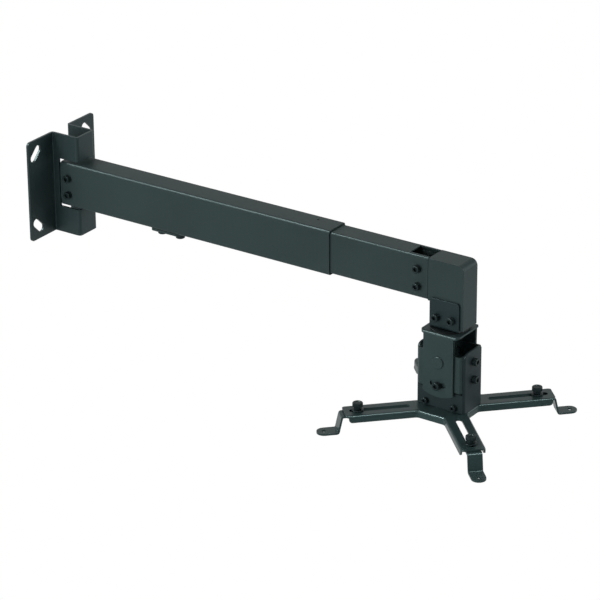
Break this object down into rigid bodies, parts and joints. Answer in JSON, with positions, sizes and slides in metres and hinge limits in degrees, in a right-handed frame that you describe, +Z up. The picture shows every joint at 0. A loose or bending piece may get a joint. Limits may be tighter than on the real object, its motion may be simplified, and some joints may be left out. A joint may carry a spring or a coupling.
{
  "type": "projector wall mount",
  "caption": "Wall bracket with a telescopic square arm, an elbow, and a swivelling, tilting head carrying a cross of slotted arms with sliding Z-shaped feet.",
  "frame": {"origin": "on the wall plane, at the middle of the wall bracket and the height of the arm's centre line", "axes": "+X out from the wall along the arm, +Y to the side, +Z up"},
  "size_m": [0.5998, 0.2005, 0.2173],
  "materials": {
    "coat": "fine charcoal powder coat",
    "fasteners": "satin black",
    "washer": "black nylon"
  },
  "bodies": {
    "wall_bracket": {"wall_bracket": "coat", "outer_tube": "coat", "bracket_bolt_1": "fasteners", "bracket_bolt_2": "fasteners", "bracket_bolt_3": "fasteners", "bracket_bolt_4": "fasteners"},
    "arm": {"inner_tube": "coat", "clamp_plate": "coat", "clamp_bar": "fasteners", "clamp_screw_rear": "fasteners", "clamp_screw_front": "fasteners", "elbow": "coat", "elbow_screw_1": "fasteners", "elbow_screw_2": "fasteners", "elbow_screw_3": "fasteners", "elbow_screw_4": "fasteners", "drop_bracket": "coat", "drop_screw_1": "fasteners", "drop_screw_2": "fasteners", "drop_screw_3": "fasteners", "drop_screw_4": "fasteners", "swivel_disc": "fasteners", "swivel_bolt": "fasteners"},
    "yoke": {"yoke": "coat", "swivel_washer": "washer", "swivel_nut": "fasteners"},
    "tilt_frame": {"tilt_frame": "coat", "tilt_pivot_near": "coat", "tilt_pivot_far": "coat", "tilt_bolt_near": "fasteners", "tilt_bolt_far": "fasteners", "roll_pivot_back": "fasteners", "roll_pivot_front": "fasteners", "roll_bolt_back": "fasteners", "roll_bolt_front": "fasteners"},
    "spider": {"roll_frame": "coat", "saddle": "coat", "saddle_rivet_back": "fasteners", "saddle_rivet_front": "fasteners", "spider": "coat", "frame_screw_1": "fasteners", "frame_screw_2": "fasteners", "frame_screw_3": "fasteners", "frame_screw_4": "fasteners"},
    "slider_left": {"knob_washer_left": "fasteners"},
    "foot_left": {"foot_left": "coat"},
    "knob_left": {"knob_left": "fasteners"},
    "slider_front": {"knob_washer_front": "fasteners"},
    "foot_front": {"foot_front": "coat"},
    "knob_front": {"knob_front": "fasteners"},
    "slider_right": {"knob_washer_right": "fasteners"},
    "foot_right": {"foot_right": "coat"},
    "knob_right": {"knob_right": "fasteners"},
    "slider_back": {"knob_washer_back": "fasteners"},
    "foot_back": {"foot_back": "coat"},
    "knob_back": {"knob_back": "fasteners"}
  },
  "joints": [
    {"name": "arm_extension", "type": "slide", "parent": "wall_bracket", "child": "arm", "axis": [1, 0, 0], "range_m": [-0.09, 0.13]},
    {"name": "head_swivel", "type": "hinge", "parent": "arm", "child": "yoke", "pos_m": [0.499, 0, -0.053], "axis": [0, 0, 1], "continuous": true},
    {"name": "head_tilt", "type": "hinge", "parent": "yoke", "child": "tilt_frame", "pos_m": [0.499, 0, -0.0847], "axis": [0, 1, 0], "range_deg": [-15, 15]},
    {"name": "head_roll", "type": "hinge", "parent": "tilt_frame", "child": "spider", "pos_m": [0.499, 0, -0.0847], "axis": [1, 0, 0], "range_deg": [-3.5, 3.5]},
    {"name": "foot_slide_left", "type": "slide", "parent": "spider", "child": "slider_left", "axis": [-0.7071, -0.7071, 0], "range_m": [-0.0515, 0.0055]},
    {"name": "foot_swing_left", "type": "hinge", "parent": "slider_left", "child": "foot_left", "pos_m": [0.43147, -0.06753, -0.1382], "axis": [0, 0, 1], "range_deg": [-8, 8]},
    {"name": "knob_turn_left", "type": "hinge", "parent": "foot_left", "child": "knob_left", "pos_m": [0.43147, -0.06753, -0.1382], "axis": [0, 0, 1], "continuous": true},
    {"name": "foot_slide_front", "type": "slide", "parent": "spider", "child": "slider_front", "axis": [0.7071, -0.7071, 0], "range_m": [-0.0525, 0.0045]},
    {"name": "foot_swing_front", "type": "hinge", "parent": "slider_front", "child": "foot_front", "pos_m": [0.56724, -0.06824, -0.1382], "axis": [0, 0, 1], "range_deg": [-8, 8]},
    {"name": "knob_turn_front", "type": "hinge", "parent": "foot_front", "child": "knob_front", "pos_m": [0.56724, -0.06824, -0.1382], "axis": [0, 0, 1], "continuous": true},
    {"name": "foot_slide_right", "type": "slide", "parent": "spider", "child": "slider_right", "axis": [0.7071, 0.7071, 0], "range_m": [-0.049, 0.008]},
    {"name": "foot_swing_right", "type": "hinge", "parent": "slider_right", "child": "foot_right", "pos_m": [0.56476, 0.06576, -0.1382], "axis": [0, 0, 1], "range_deg": [-8, 8]},
    {"name": "knob_turn_right", "type": "hinge", "parent": "foot_right", "child": "knob_right", "pos_m": [0.56476, 0.06576, -0.1382], "axis": [0, 0, 1], "continuous": true},
    {"name": "foot_slide_back", "type": "slide", "parent": "spider", "child": "slider_back", "axis": [-0.7071, 0.7071, 0], "range_m": [-0.051, 0.006]},
    {"name": "foot_swing_back", "type": "hinge", "parent": "slider_back", "child": "foot_back", "pos_m": [0.43183, 0.06717, -0.1382], "axis": [0, 0, 1], "range_deg": [-8, 8]},
    {"name": "knob_turn_back", "type": "hinge", "parent": "foot_back", "child": "knob_back", "pos_m": [0.43183, 0.06717, -0.1382], "axis": [0, 0, 1], "continuous": true}
  ]
}
